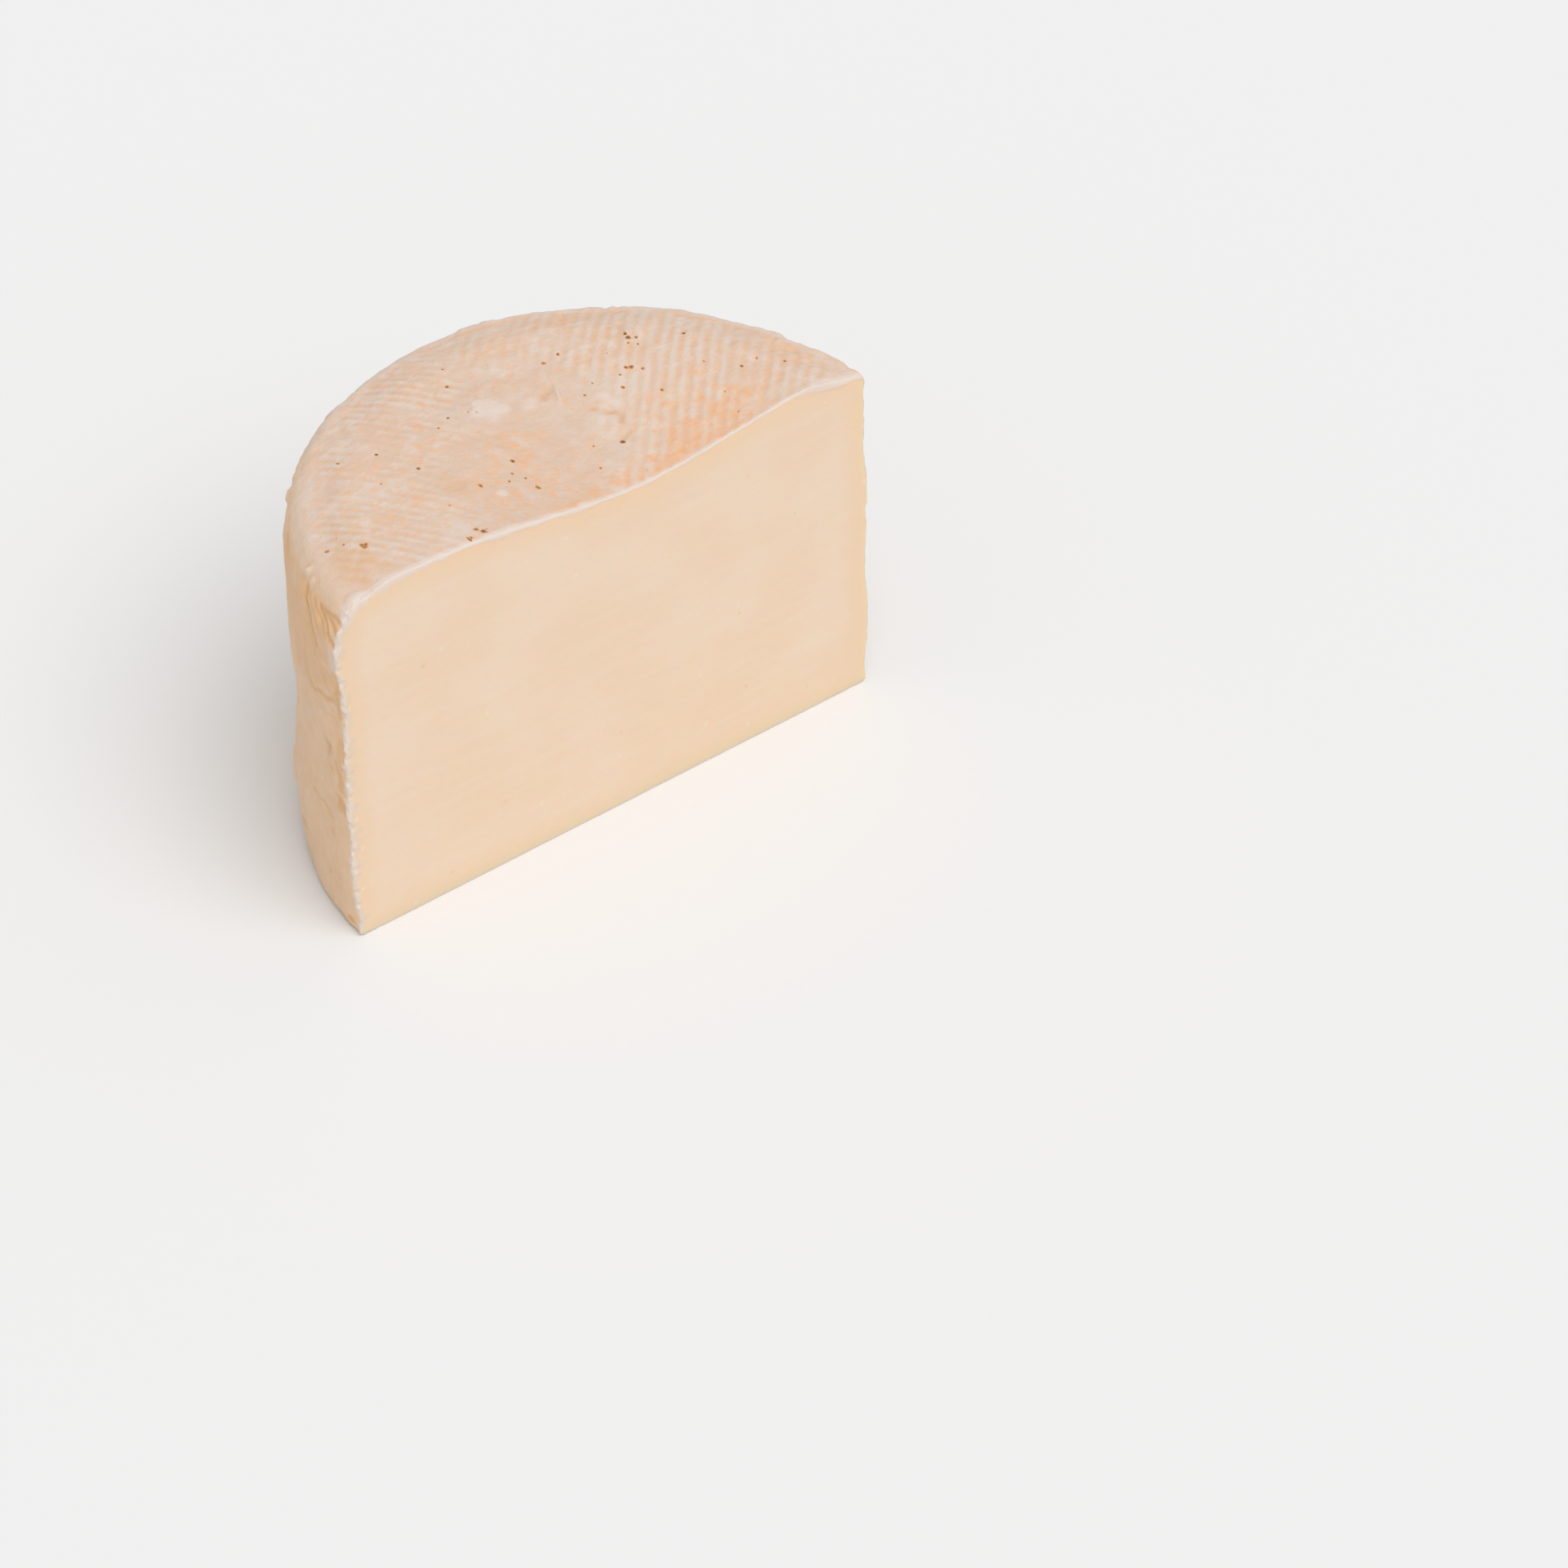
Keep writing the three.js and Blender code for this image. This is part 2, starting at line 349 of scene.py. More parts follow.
def cutOutline(piece):
    # the edges where the cut face meets the rind, as pairs of (x, z) places
    data = piece.data
    edgeOfLoop = readArray(data.loops, "edge_index", kind=int)
    loopsOnCut = np.repeat(facesOnCut(piece), faceSizes(piece))
    cutFaces = np.bincount(edgeOfLoop, loopsOnCut, len(data.edges))
    rim = readArray(data.edges, "vertices", 2, int)[cutFaces == 1]
    return readPoints(piece)[rim][:, :, [0, 2]]


def outlineDistance(x, z, outline):
    # how far each place on the cut face is from the face's rim, and which way leads inward
    places = np.stack([x, z], 1)
    start, along = outline[:, 0], outline[:, 1] - outline[:, 0]
    lengths = np.maximum((along ** 2).sum(1), 1e-9)
    nearest, inwardWay = np.zeros(len(places)), np.zeros((len(places), 2))
    for first in range(0, len(places), 4000):
        offset = places[first:first + 4000, None] - start[None]
        share = np.clip((offset * along).sum(2) / lengths, 0.0, 1.0)
        gap = offset - share[:, :, None] * along
        distance = np.hypot(gap[:, :, 0], gap[:, :, 1])
        rows, best = np.arange(len(gap)), distance.argmin(1)
        nearest[first:first + 4000] = distance[rows, best]
        inwardWay[first:first + 4000] = gap[rows, best]
    return nearest, inwardWay / np.maximum(nearest, 1e-6)[:, None]


def nearRim(x, z, among, outline, reach):
    # which of the faces among these lie nearer the cut's rim than the reach
    near = among.copy()
    near[among] = outlineDistance(x[among], z[among], outline)[0] < reach
    return near


def thinHidden(piece, outline):
    # fewer faces on the base and in the middle of the cut
    middles, normals = faceFigures(piece)
    x, y, z = middles.T
    facingCut = normals[:, 1] < -0.99
    inner = facingCut & ~nearRim(x, z, facingCut, outline, fine["thinFrom"])
    base = (normals[:, 2] < -0.99) & (np.hypot(x, y) < 74) & (y > 4)
    selectFaces(piece, inner | base)
    bpy.ops.mesh.decimate(ratio=fine["thinTo"])
    setMode("OBJECT")


fine = {
    "thinFrom": 7.0, "thinTo": 0.2,
    "lipStrip": 3.5, "rindStrip": 3.0,    # divided once, along the cut's rim
    "edgeStrip": 1.6,                     # divided twice
    "sideReach": 26.0,                    # the side near the left end of the cut
    "speckReach": 0.4,
}


def fromCutRound(x, y):
    # distance from the left end of the cut, round the side
    return wheel["radius"] * (math.pi - np.arctan2(np.maximum(y, 0.0), x))


def dividedOnce(middles, normals, outline):
    x, y, z = middles.T
    facingCut = normals[:, 1] < -0.7
    onTop = (normals[:, 2] > 0.3) & (z > 60)
    lipStrip = nearRim(x, z, facingCut & (y < 0.5), outline, fine["lipStrip"])
    rindStrip = (y < fine["rindStrip"]) & ~facingCut & (z > 1.0)
    leftEnd = (fromCutRound(x, y) < fine["sideReach"]) & (np.hypot(x, y) > side["marksFrom"])
    return onTop | lipStrip | rindStrip | (leftEnd & (z > 1.0) & ~facingCut)


def dividedTwice(middles, normals, outline):
    x, y, z = middles.T
    facingCut = normals[:, 1] < -0.7
    lipStrip = nearRim(x, z, facingCut & (y < 0.5) & (z > 2.5), outline, fine["edgeStrip"])
    rindStrip = (y < fine["edgeStrip"]) & ~facingCut & (z > 2.5)
    onTop = (normals[:, 2] > 0.5) & (z > wheel["topBand"][0])
    torn = onTop & (np.hypot(x - 11.6, y - 37.0) < 4.0)    # the upright scrap
    for line in tornLines:
        torn |= onTop & (tornShare(middles, line) > 0.1)
    pleated = (pleatFan(middles)[0] > 0.03) & ~facingCut
    return lipStrip | rindStrip | torn | pleated


def dividedRoundSpecks(middles, normals, _):
    x, y, z = middles.T
    chosen = np.zeros(len(x), bool)
    for speckX, speckY, radius, _ in specks:
        chosen |= np.hypot(x - speckX, y - speckY) < radius + fine["speckReach"]
    return chosen & (normals[:, 2] > 0.5) & (z > wheel["topBand"][0])


# Ridges that the mat pressed into the top, in two fields
ridges = {
    "leftDirection": math.radians(-56), "leftPitch": 2.95, "leftDepth": 0.14,
    "rightDirection": math.radians(47.5), "rightPitch": 3.2, "rightDepth": 0.18,
    "fadeStart": 68.0, "fadeEnd": 74.5, "rightReach": 4.0,
    "meetingReach": 6.0, "meetingShare": 0.1,
}


def ridgeWave(points, direction, pitch, seed):
    # 1 on a crest and -1 in a groove
    across = -math.sin(direction) * points[:, 0] + math.cos(direction) * points[:, 1]
    wander = 0.5 * softNoise(points, 24.0, seed) + 0.2 * softNoise(points, 6.0, seed + 1)
    return -np.cos(2 * math.pi * (across + wander) / pitch)


def ridgeTop(piece):
    points, x, y, z = splitPoints(piece)
    flat = points * (1, 1, 0)
    left = ridgeWave(flat, ridges["leftDirection"], ridges["leftPitch"], 11)
    right = ridgeWave(flat, ridges["rightDirection"], ridges["rightPitch"], 21)
    seam = 2.5 * softNoise(flat, 9.0, 61)    # the fields meet along an uneven line
    onLeft = x < seam
    wave = np.where(onLeft, left, right)
    depth = np.where(onLeft, ridges["leftDepth"], ridges["rightDepth"])
    outward = np.hypot(x, y) - ridges["rightReach"] * softStep(x, -45.0, -5.0)
    rim = 1 - softStep(outward, ridges["fadeStart"], ridges["fadeEnd"])
    meeting = between(
        ridges["meetingShare"], 1.0, softStep(np.abs(x - seam), 0, ridges["meetingReach"])
    )
    patchy = 0.8 + 0.4 * softNoise(flat, 13.0, 31) + 0.35 * softNoise(flat, 4.5, 32)
    nearCut = between(0.45, 1.0, softStep(y, 0.0, 3.5))
    onTop = topBandShare(z)
    strength = rim * meeting * (1 - 0.95 * wornShare(x, y)) * np.clip(patchy, 0.1, 1.1)
    strength = strength * onTop * nearCut
    groove = (0.5 - 0.5 * wave) ** 1.4
    beads = 0.07 * softNoise(flat, 1.7, 34) * (0.5 + 0.5 * wave)
    points[:, 2] -= depth * groove * strength - beads * strength
    writePoints(piece, points)
    storeShare(piece, "groove", np.maximum(groove * np.clip(strength, 0, 1), 0.28 * wornShare(x, y)))
    storeShare(piece, "crest", (0.5 + 0.5 * wave) ** 2.2 * np.clip(strength, 0, 1))
    storeShare(piece, "leftField", onLeft.astype(float))
    storeShare(piece, "worn", wornShare(x, y) * onTop)
    beyond = 3.0 * (1 - softStep(-x, 30.0, 60.0))    # the top's colour reaches further on the right
    storeShare(piece, "top", onTop * (1 - softStep(np.hypot(x, y) - beyond, 73.0, 77.5)))


# Scraps, swellings, a dent and torn lines in the worn middle
scraps = [    # x, y, reach each way, turn, lift, paleness, painted shade in the dent
    (-5.5, 41, 6.6, 6, 20, 0.2, 1, 0), (4, 37.6, 3.6, 2.8, 10, 0.12, 0.8, 0),
    (11.6, 37, 1.2, 3.2, -24, 0.6, 0.8, 0), (14.5, 23, 5.4, 6.2, 12, 0.26, 0.3, 0),
    (22, 28, 2.6, 5.2, 20, 0.14, 0.7, 0), (-11.5, 53, 3, 3.2, 10, 0.22, 0.5, 0),
    (-24, 62, 3.6, 2.2, 30, 0.3, 0.4, 0), (-30.2, 21.4, 4.6, 4.4, 0, -0.25, 0, 0.45),
    (-22, 13.5, 2.2, 1.6, 0, 0.12, 1, 0), (-36, 14, 1.8, 1, 20, 0.12, 0.8, 0),
]
tornLines = [    # places, width, depth below the skin beside them, how brown: the rind's brown line plus painted shadow of the step
    ([(16.2, 28.2), (18.2, 26.6), (20.4, 24.6), (19.8, 21.2), (20.6, 18.8), (18.2, 16.9),
     (15.7, 15.5)], 0.9, 0.2, 0.85),
    ([(7.8, 37.4), (10.2, 39.2), (13, 40.6)], 0.7, 0.3, 0.8),
    ([(-11.5, 47), (-9, 45.5), (-6, 46.8)], 0.8, 0.08, 0.3),
    ([(-13, 35.5), (-12.6, 31), (-10.8, 26.5)], 1.3, 0.05, 0.5),
    ([(-14.4, 51.4), (-14, 54.4), (-11, 55.8), (-9.4, 54)], 0.6, 0.12, 0.4),
    ([(-34, 23.5), (-31.5, 24.8), (-28.5, 23.6)], 0.9, 0.05, 0.4),
    ([(-33.5, 19), (-30.5, 18.2)], 1, 0.05, 0.4),
]


def lineDistance(across, up, places):
    nearest = np.full(len(across), 1e9)
    for (startX, startY), (endX, endY) in zip(places, places[1:]):
        dx, dy = endX - startX, endY - startY
        share = np.clip(((across - startX) * dx + (up - startY) * dy) / (dx * dx + dy * dy), 0, 1)
        gap = np.hypot(across - startX - share * dx, up - startY - share * dy)
        nearest = np.minimum(nearest, gap)
    return nearest


def tornShare(points, line):
    wanderX = 0.5 * softNoise(points, 2.6, 64)
    wanderY = 0.5 * softNoise(points, 2.6, 66)
    gap = lineDistance(points[:, 0] + wanderX, points[:, 1] + wanderY, line[0])
    return bell(gap / line[1])


def addScraps(piece):
    points, x, y, z = splitPoints(piece)
    onTop = topBandShare(z)
    paleAndHighlight, seam = np.zeros(len(points)), np.zeros(len(points))
    for number, scrap in enumerate(scraps):
        turn, lift, paleness, dentShade = scrap[4:]
        ragged = 0.25 * softNoise(points, 2.6, 80 + number)
        share = spotShare(x, y, scrap, ragged, 0.35, turn=math.radians(turn)) * onTop
        points[:, 2] += lift * share
        paleAndHighlight = np.maximum(paleAndHighlight, paleness * share)
        # painted shade darkening the dent
        seam = np.maximum(seam, dentShade * share)
    for line in tornLines:
        depth, brown = line[2:]
        share = tornShare(points, line) * onTop
        points[:, 2] -= depth * share
        # brown along each torn edge: partly the rind's colour, partly painted shadow of the step
        broken = np.clip(0.7 + 0.6 * softNoise(points, 2.4, 68), 0.3, 1.1)
        seam = np.maximum(seam, brown * share * broken)
    writePoints(piece, points)
    storeShare(piece, "paleAndHighlight", paleAndHighlight)
    # seam holds brown seams and pleats, plus painted shade in the dent and beside torn edges
    storeShare(piece, "seam", seam)


# Specks as (x, y, radius): rusty ones, dark ones, then a seeded scatter of small dark ones
rustySpecks = [
    (-61.1, 15.4, 0.85), (-60.2, 15, 0.7), (-60.9, 14.2, 0.9), (-35.3, 4.4, 1), (-34.3, 3.2, 0.95),
    (-67.6, 20.7, 0.7), (-24.7, 18, 0.7), (38.4, 43.9, 0.9), (15.4, 48.2, 0.7),
]
darkSpecks = [
    (-39.2, 2.3, 0.75), (-38.4, 2.5, 0.6),
    (-47.6, 46.3, 0.65), (-33.9, 31.3, 0.7), (-12.2, 22.4, 0.7), (-12.2, 11.8, 0.75), (-15, 18.6, 0.6),
    (15.8, 15.4, 0.8), (-9.3, 54.9, 0.6), (20.4, 49, 0.65), (38.6, 45.4, 0.6), (40, 42.8, 0.6),
    (37, 42.2, 0.6), (50.5, 37, 0.7), (32.4, 34.4, 0.75), (31.2, 35.2, 0.55), (34.3, 32.2, 0.6),
    (26.8, 30.2, 0.6), (33.9, 23.6, 0.6), (54.1, 17.8, 0.5), (59, 18, 0.5), (64.5, 13.5, 0.5),
    (-38.6, 42.4, 0.5),
]
draw = np.random.default_rng(17).uniform
for _ in range(26):
    place = draw((-66.0, 3.0), (66.0, 66.0))
    if math.hypot(*place) < 70:
        darkSpecks.append((*place, draw(0.28, 0.48)))
specks = [(*speck, 0.66) for speck in rustySpecks] + [(*speck, 0.8) for speck in darkSpecks]


def markSpecks(piece):
    points, x, y, z = splitPoints(piece)
    onTop = topBandShare(z)
    ragged = softNoise(points, 0.8, 95)
    total = np.zeros(len(points))
    for number, (speckX, speckY, radius, darkness) in enumerate(specks):
        reach = np.hypot(x - speckX, (y - speckY) * 0.85) / radius + 0.25 * ragged
        strength = darkness + 0.12 * math.sin(2.1 * number)
        total = np.maximum(total, strength * (1 - softStep(reach, 0.3, 1.0)))
    points[:, 2] -= 0.08 * total * onTop
    writePoints(piece, points)
    storeShare(piece, "speck", total * onTop)


# Pale skin left over the worn middle, and orange bloom, densest along the middle of the cut
filmSpots = [    # x, y, reach each way, turn, share
    (8, 21, 17, 13, 20, 0.46), (-3, 36, 12, 8, 10, 0.3),
    (27, 30, 12, 12, 0, 0.38), (-44, 8, 14, 7, 0, 0.5),
]
orangeSpots = [    # x, y, reach each way, share
    (18, 2, 48, 10, 1), (40, 8, 24, 13, 0.9), (32, 16, 14, 12, 0.5),
    (-12, 16, 30, 20, 0.55), (-6, 27, 12, 10, 0.6), (30, 63, 9, 7, 0.7),
    (-40, 30, 34, 34, 0.24), (70, 18, 7, 14, 0.9),
]


orangeLines = {    # one round the rim of the top, one along the cut
    "rimRadius": 73.5, "rimWidth": 0.7, "fromCut": 2.0, "cutWidth": 0.5,
}


def markOrange(piece):
    points, x, y, z = splitPoints(piece)
    density, film = np.full(len(points), 0.1), np.zeros(len(points))
    for spot in orangeSpots:
        density = np.maximum(density, spot[4] * spotShare(x, y, spot, 0.0, 0.3))
    for spot in filmSpots:
        ragged = 0.15 * softNoise(points, 5.0, 94)
        covered = spotShare(x, y, spot, ragged, 0.5, 1.05, math.radians(spot[4]))
        film = np.maximum(film, spot[5] * covered)
    radius = np.hypot(x, y) + 0.8 * softNoise(points, 7.0, 98)
    rimLine = bell((radius - orangeLines["rimRadius"]) / orangeLines["rimWidth"])
    rimLine = rimLine * np.clip(softNoise(points, 11.0, 99) + 0.25, 0, 1)
    fromLine = y - orangeLines["fromCut"] - 0.3 * softNoise(points, 3.0, 97)
    cutLine = bell(fromLine / orangeLines["cutWidth"])
    cutLine = cutLine * np.clip(1.3 * softNoise(points, 8.0, 96) + 0.3, 0, 1)
    storeShare(piece, "film", film * topBandShare(z))
    storeShare(piece, "orange", density * (1 - 0.6 * film) * topBandShare(z))
    storeShare(piece, "rimLine", np.maximum(rimLine, cutLine) * topBandShare(z))


# Creases on the side, and a fan of pleats near the left end of the cut
pleats = [    # places as (round, height), width, depth, how brown
    ([(18.9, 99.5), (18.3, 97.7), (13.8, 94.8), (10.4, 88.4)], 0.9, 0.6, 1),
    ([(17.1, 99.3), (12.1, 97), (8.4, 93.7)], 0.5, 0.2, 0.55),
    ([(14.1, 99.6), (9.3, 97.7), (5.2, 94.4)], 0.55, 0.28, 0.65),
    ([(10.7, 99.7), (6, 97.6), (1.8, 94)], 0.65, 0.4, 1),
    ([(8.1, 99.9), (3.7, 98.7), (0.2, 97)], 0.6, 0.35, 0.9),
    ([(6.7, 100.1), (3.2, 100.4), (0, 100)], 0.65, 0.3, 0.9),
    ([(16.4, 95.2), (12.6, 91.6), (11.6, 88)], 0.5, 0.25, 0.3),
    ([(42, 98), (35, 94.5)], 1, 0.25, 0.65),
]
draw = np.random.default_rng(43).uniform
for fanRound in (58.0, 96.0, 139.0, 178.0, 226.0):    # smaller fans under the rim elsewhere
    apex = (fanRound + draw(-6, 6), draw(98, 101))
    lean = draw(-25, 25)
    for spread in (-38, -20, -4, 14, 33):
        slope = math.radians(lean + 0.5 * spread + 2 * draw(-4, 4))
        reach, bend = draw(8, 17), draw(-1.5, 1.5)
        across, down = reach * math.sin(slope), reach * math.cos(slope)
        start = (apex[0] + 0.16 * spread, apex[1] + 1.5 * math.sin(fanRound + spread))
        middle = (start[0] + 0.5 * across + bend, start[1] - 0.5 * down)
        end = (start[0] + across, start[1] - down)
        pleats.append(([start, middle, end], 0.85, draw(0.08, 0.32), draw(0.05, 0.45)))
# Broad pleats elsewhere: angle round the wheel, reach, middle height, reach up, lean, pitch, depth
softPleats = [
    (48, 26, 58, 34, 0.6, 4.4, 0.3),
    (95, 24, 48, 34, -0.9, 5.2, 0.26),
    (132, 16, 40, 26, 0.3, 4, 0.24),
]
creases = [    # places as (round, height), width, depth
    ([(20.8, 74.6), (15.7, 71), (6.2, 74), (1.7, 73.3), (0, 69.6)], 0.6, 0.4),
    ([(17.5, 86), (19.5, 80), (17, 74), (11, 71.5)], 0.5, 0.2),
    ([(9.5, 59), (9.3, 54)], 0.8, 0.3),
    ([(5.5, 55), (3, 49.8), (2.6, 47)], 0.8, 0.35),
    ([(5.6, 43.6), (2.2, 41.9), (1, 39.5)], 0.8, 0.45),
    ([(22, 33), (14, 36), (9, 33)], 0.6, 0.2),
]
lastRound = 241.0    # drawn marks stay short of the right end of the cut
for _ in range(38):    # short creases round the back
    place = draw((36.0, 6.0), (246.0, 92.0))
    run, rise, bend = draw(-9, 9), draw(-7, 7), draw(-2.5, 2.5)
    middle, end = (place[0] + run / 2, place[1] + rise / 2 + bend), (place[0] + run, place[1] + rise)
    crease = ([tuple(place), middle, end], draw(0.8, 1.3), draw(0.12, 0.4))
    if max(place[0], end[0]) < lastRound:
        creases.append(crease)
knobs = [    # swellings and crumbs: round, height, reach each way, lift, paleness
    (1.4, 89.8, 3.2, 5, 0.25, 0.9), (21.9, 101.5, 1.7, 1.5, 0.9, 1),
    (18, 101.6, 1.5, 1.2, 0.4, 0.7), (3.1, 104.4, 1.6, 1, 0.4, 1),
    (1.2, 101.8, 1.5, 1.6, 0.4, 1), (0.6, 70, 1.4, 1.2, 0.3, 1), (0.8, 56.1, 1.6, 1.4, 0.35, 1),
    (1, 37.2, 1.3, 1.3, 0.45, 1), (1.8, 25, 1.5, 1.2, 0.3, 1),
    (57, 97.6, 2.8, 2.2, 0.75, 0.3), (56, 94, 3, 2, -0.3, 0),
    (76, 100.5, 20, 6, 0.75, 0.1), (165, 101.5, 112, 6, 0.45, 0),
    (139, 102, 8, 4.5, 0.55, 0), (185, 102, 15, 4.5, 0.4, 0),
    (221, 102, 8, 4.5, 0.55, 0), (251, 54, 14, 24, 0.5, 0),
    (48, 21, 9, 5.5, 0.75, 0), (38, 8, 12, 9, 0.45, 0),
    (37, 30, 6, 5, 0.5, 0), (9, 66, 6, 8, 0.3, 0),
    (12, 44, 6, 9, 0.25, 0), (0, 74, 14, 15, -0.7, 0),
    (0, 50, 14, 17, 0.8, 0), (0, 13, 12, 9, 0.3, 0),
]
ochreSpots = [    # browner places on the side: round, height, reach each way, share
    (10, 90, 13, 11, 0.2), (28, 86, 42, 19, 0.42), (15, 100.5, 18, 8.5, 0.42),
    (1.8, 78.5, 2.4, 9, 0.7), (2.4, 60, 2.2, 9, 0.5), (3.2, 50, 1.7, 6, 0.6),
    (3.4, 42.6, 2, 3.4, 0.7), (15.7, 101.6, 0.9, 0.8, 0.6), (22.3, 94.4, 1.1, 1.4, 0.7),
    (16.9, 83, 1, 1, 0.8), (8, 80.4, 0.9, 0.9, 0.5), (9.1, 56.3, 1.1, 2.4, 0.7),
    (7.7, 51.4, 1.8, 1.3, 0.8), (9.1, 28.8, 1.4, 2.2, 0.4), (12.4, 13.2, 1, 1.6, 0.8),
    (3.9, 3.7, 1.8, 1.8, 1),
]
for _ in range(30):
    place = draw((34.0, 3.0), (248.0, 98.0))
    ochreSpots.append((*place, draw(0.9, 2.4), draw(0.9, 3.6), draw(0.25, 0.8)))
for _ in range(16):
    place = draw((40.0, 6.0), (244.0, 99.0))
    knob = (*place, draw(1.5, 7.0), draw(1.5, 7.0), draw(-0.35, 0.2), draw(0.0, 0.5))
    if knob[0] + knob[2] < lastRound:
        knobs.append(knob)


def pleatFan(points):
    # the depth and the brown of the fan's grooves
    around, height = fromCutRound(points[:, 0], points[:, 1]), points[:, 2]
    around = around + 0.3 * softNoise(points, 3.0, 131)
    height = height + 0.3 * softNoise(points, 3.0, 132)
    sideways = (np.hypot(points[:, 0], points[:, 1]) > 66) & (height > 70)
    depth, brown = np.zeros(len(points)), np.zeros(len(points))
    clear = softStep(points[:, 1], 0.3, 2.0)    # the rim of the cut stays whole
    for places, width, pleatDepth, pleatBrown in pleats:
        groove = bell(lineDistance(around, height, places) / width) * sideways * clear
        depth = np.maximum(depth, pleatDepth * groove)
        brown = np.maximum(brown, pleatBrown * groove)
    return depth, brown


paintedShoulderHighlight = {    # paler at the shoulder: painted highlight, with some real pale rind at the left corner: the left corner's reaches, then the rest of the rim
    "leftRound": (50.0, 72.0), "leftHeight": (96.0, 101.0), "leftStart": (67, 73), "leftEnd": (76.3, 78.0),
    "radius": 76.2, "width": 1.8, "height": (94.0, 98.0), "fromLeft": (-50.0, -20.0),
}


def shapeSide(piece):
    points, x, y, z = splitPoints(piece)
    normals = readArray(piece.data.vertices, "normal", 3)
    onCut = pointsOnCut(piece)
    radius = np.hypot(x, y)
    angle = np.arctan2(np.maximum(y, 0), x)
    onSide = softStep(radius, *side["band"])
    outside = radius > side["marksFrom"]
    around = fromCutRound(x, y)
    depth, brown = pleatFan(points)
    move = -depth
    ochre = 0.9 * brown
    for number, (middle, reach, height, tall, lean, pitch, pleatDepth) in enumerate(softPleats):
        spot = (math.radians(middle), height, math.radians(reach), tall)
        share = spotShare(angle, z, spot, 0.3 * softNoise(points, 12.0, 140 + number), 0.1) * onSide
        run = wheel["radius"] * angle + lean * (z - height)
        run = run + 1.6 * softNoise(points, 14.0, 150 + number) + 0.4 * softNoise(points, 4.0, 155)
        groove = share * (0.5 - 0.5 * np.cos(2 * math.pi * run / pitch)) ** 1.3
        move -= pleatDepth * groove
        ochre = np.maximum(ochre, 0.3 * groove)
    wobbleRound, wobbleUp = 0.7 * softNoise(points, 4.0, 160), 0.7 * softNoise(points, 4.0, 161)
    for places, width, creaseDepth in creases:
        gap = lineDistance(around + wobbleRound, z + wobbleUp, places)
        share = bell(gap / width) * outside
        move -= creaseDepth * share
        ochre = np.maximum(ochre, 0.6 * share)
    paleAndHighlight = readShare(piece, "paleAndHighlight")
    for number, knob in enumerate(knobs):
        ragged = 0.18 * softNoise(points, 2.5, 170 + number)
        share = spotShare(around, z, knob, ragged, 0.35) * outside
        move += knob[4] * share
        paleAndHighlight = np.maximum(paleAndHighlight, knob[5] * share)
    for number, spot in enumerate(ochreSpots):
        ragged = 0.25 * softNoise(points, 2.5, 180 + number)
        ochre = np.maximum(ochre, spot[4] * spotShare(around, z, spot, ragged, 0.4) * outside)
    # painted highlight on the left corner of the shoulder, partly pale rind too
    leftCornerPaleAndHighlight = (1 - softStep(around, *paintedShoulderHighlight["leftRound"])) * softStep(z, *paintedShoulderHighlight["leftHeight"])
    leftCornerPaleAndHighlight = leftCornerPaleAndHighlight * softStep(radius, *paintedShoulderHighlight["leftStart"])
    leftCornerPaleAndHighlight = leftCornerPaleAndHighlight * (1 - softStep(radius, *paintedShoulderHighlight["leftEnd"]))
    paleAndHighlight = np.maximum(paleAndHighlight, 0.5 * leftCornerPaleAndHighlight * (1 - brown))
    # painted highlight: a pale line along the rest of the rim
    rimHighlight = bell((radius - paintedShoulderHighlight["radius"]) / paintedShoulderHighlight["width"])
    rimHighlight = rimHighlight * softStep(z, *paintedShoulderHighlight["height"]) * softStep(x, *paintedShoulderHighlight["fromLeft"])
    paleAndHighlight = np.maximum(paleAndHighlight, rimHighlight * (0.62 + 0.3 * softNoise(points, 8.0, 134)))
    push = normals * move[:, None]
    push[:, 1] = np.where(onCut, 0.0, push[:, 1])
    flatPush = np.stack([x, y, np.zeros(len(x))], 1) / np.maximum(radius, 1.0)[:, None]
    flatPush = flatPush * (move * softStep(radius, 58.0, 72.0))[:, None]
    points += np.where(onCut[:, None], flatPush, push)
    points[:, 1:] = np.maximum(points[:, 1:], 0.0)
    writePoints(piece, points)
    storeShare(piece, "ochre", ochre)
    storeShare(piece, "paleAndHighlight", paleAndHighlight)
    storeShare(piece, "seam", np.maximum(readShare(piece, "seam"), 0.9 * brown ** 2))


rough = {    # amounts of the rind's fine unevenness, mostly inwards
    "lumps": 0.1, "grains": 0.05, "streaks": 0.1, "scales": 0.14, "swells": 0.22, "inwards": 0.1,
}


def roughenRind(piece):
    points, x, y, z = splitPoints(piece)
    normals = readArray(piece.data.vertices, "normal", 3)
    onCut = pointsOnCut(piece)
    base = z < 0.02
    onSide = softStep(np.hypot(x, y), *side["band"])
    lumps = rough["lumps"] * roughNoise(points, 5.0, 101) + rough["grains"] * softNoise(points, 1.6, 105)
    streaks = rough["streaks"] * softNoise(points * (1, 1, 0.22), 2.6, 111)
    scales = rough["scales"] * softNoise(points * (1, 1, 1.4), 7.0, 113)
    swells = rough["swells"] * (softNoise(points, 24.0, 115) - 0.8)
    swells = swells * softStep(fromCutRound(x, y), 20.0, 60.0)
    move = lumps + (streaks + scales + swells) * onSide - rough["inwards"]
    move = np.where(onCut | base, 0.0, move) * softStep(y, 0.0, 2.0)
    points += normals * move[:, None]
    points[:, 1:] = np.maximum(points[:, 1:], 0.0)
    writePoints(piece, points)


